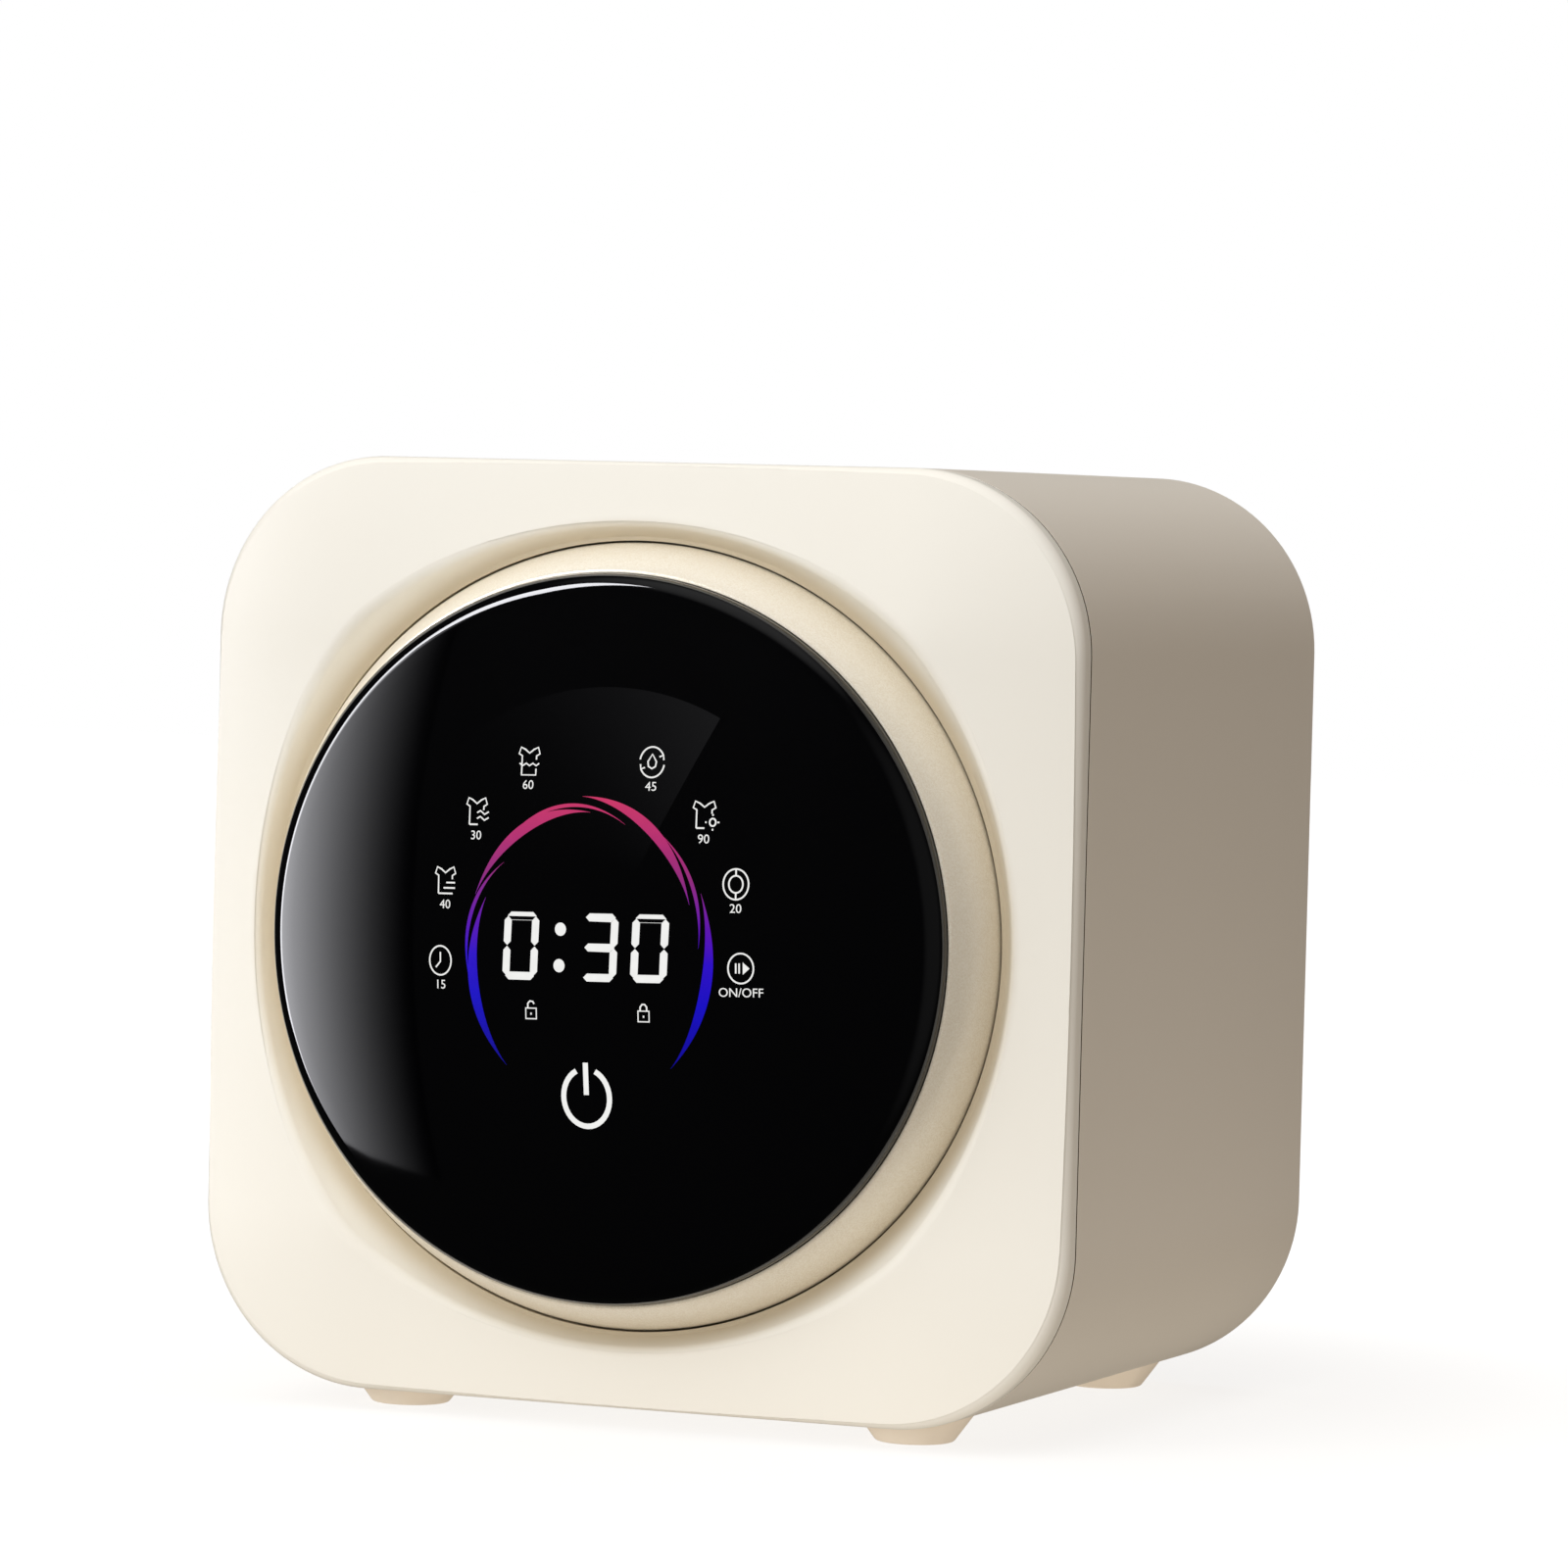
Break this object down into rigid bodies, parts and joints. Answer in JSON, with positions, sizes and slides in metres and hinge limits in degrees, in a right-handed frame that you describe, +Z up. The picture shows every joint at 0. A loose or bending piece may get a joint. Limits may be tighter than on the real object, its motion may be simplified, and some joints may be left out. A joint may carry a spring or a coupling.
{
  "type": "front-loading washing machine",
  "caption": "Small tabletop washing machine: rounded cream casing, domed black glass door in a champagne ring, short round feet, perforated drum and belt drive inside.",
  "frame": {"origin": "centre of the overall box in plan, at the height of the feet's soles", "axes": "+X to the right of a person facing the door, +Y to the machine's back, +Z up"},
  "size_m": [0.36, 0.3354, 0.37],
  "materials": {
    "cream_gloss": "smooth cream moulding",
    "cream_foot": "cream moulding, slightly darker",
    "cover_plastic": "fine-grained cream",
    "ring_paint": "satin champagne paint",
    "black_glass": "polished, backed with black",
    "dark_plastic": "moulded",
    "circuit": "green board",
    "display": "dark smoked",
    "inner_plastic": "light grey moulding",
    "bowl_plastic": "clear, polished",
    "zinc_steel": "zinc plated",
    "steel": "ground",
    "stainless": "bright stainless sheet",
    "tub_plastic": "grey moulding",
    "grey_rubber": "matt",
    "black_rubber": "matt",
    "cast_alloy": "as cast",
    "motor_paint": "dark grey paint",
    "duct_plastic": "black moulding",
    "fitting_plastic": "white moulding"
  },
  "bodies": {
    "cabinet": {"front_panel": "cream_gloss", "side_casing": "cream_gloss", "rear_cover": "cover_plastic", "rear_cover_screws": "zinc_steel", "foot_front_left": "cream_foot", "foot_front_right": "cream_foot", "foot_rear_left": "cream_foot", "foot_rear_right": "cream_foot", "foot_screws": "zinc_steel", "hinge_bracket": "zinc_steel", "hinge_pin": "steel", "door_lock": "inner_plastic", "machine_screws": "zinc_steel", "door_gasket": "grey_rubber", "tub_front": "tub_plastic", "tub_rear": "tub_plastic", "tub_screws": "zinc_steel", "tub_mounts": "grey_rubber", "shaft_seal": "grey_rubber", "drum_bearings": "steel", "wash_heater": "steel", "motor": "motor_paint", "motor_bracket": "zinc_steel", "drive_belt": "black_rubber", "blower_housing": "duct_plastic", "air_duct": "duct_plastic", "air_heater": "cast_alloy", "drain_pump": "dark_plastic", "pump_motor": "motor_paint", "sump_hose": "grey_rubber", "drain_hose": "grey_rubber", "drain_spigot": "fitting_plastic", "inlet_valve": "inner_plastic", "fill_hose": "grey_rubber", "control_tray": "dark_plastic", "control_board": "circuit", "power_gland": "fitting_plastic"},
    "door": {"door_ring": "ring_paint", "door_glass": "black_glass", "display_carrier": "dark_plastic", "touch_board": "circuit", "display_module": "display", "door_inner_frame": "inner_plastic", "door_frame_screws": "zinc_steel", "door_bowl": "bowl_plastic", "hinge_arm": "zinc_steel", "door_fitting_screws": "zinc_steel", "door_strike": "zinc_steel"},
    "bolt": {"lock_bolt": "steel"},
    "drum": {"drum_shell": "stainless", "drum_front_ring": "stainless", "drum_back": "stainless", "drum_lifters": "tub_plastic", "drum_spider": "cast_alloy", "drum_shaft": "steel", "drum_pulley": "cast_alloy"},
    "motor_shaft": {"motor_rotor": "steel", "motor_pulley": "cast_alloy"},
    "blower": {"blower_impeller": "duct_plastic"},
    "pump": {"pump_impeller": "duct_plastic"}
  },
  "joints": [
    {"name": "door_hinge", "type": "hinge", "parent": "cabinet", "child": "door", "pos_m": [-0.168, -0.11285, 0.189], "axis": [0, 0, -1], "range_deg": [0, 100]},
    {"name": "lock_slide", "type": "slide", "parent": "cabinet", "child": "bolt", "axis": [-1, 0, 0], "range_m": [0, 0.0075], "stiffness_N_per_m": 150},
    {"name": "drum_spin", "type": "hinge", "parent": "cabinet", "child": "drum", "pos_m": [0, -0.00135, 0.189], "axis": [0, 1, 0], "continuous": true},
    {"name": "motor_spin", "type": "hinge", "parent": "cabinet", "child": "motor_shaft", "pos_m": [-0.118, 0.05865, 0.071], "axis": [0, 1, 0], "continuous": true},
    {"name": "blower_spin", "type": "hinge", "parent": "cabinet", "child": "blower", "pos_m": [-0.1, 0.09265, 0.339], "axis": [0, 0, 1], "continuous": true},
    {"name": "pump_spin", "type": "hinge", "parent": "cabinet", "child": "pump", "pos_m": [0.089, 0.02865, 0.049], "axis": [1, 0, 0], "continuous": true}
  ],
  "couplings": [
    {"joint": "motor_spin", "follows": "drum_spin", "ratio": 6.1667}
  ]
}
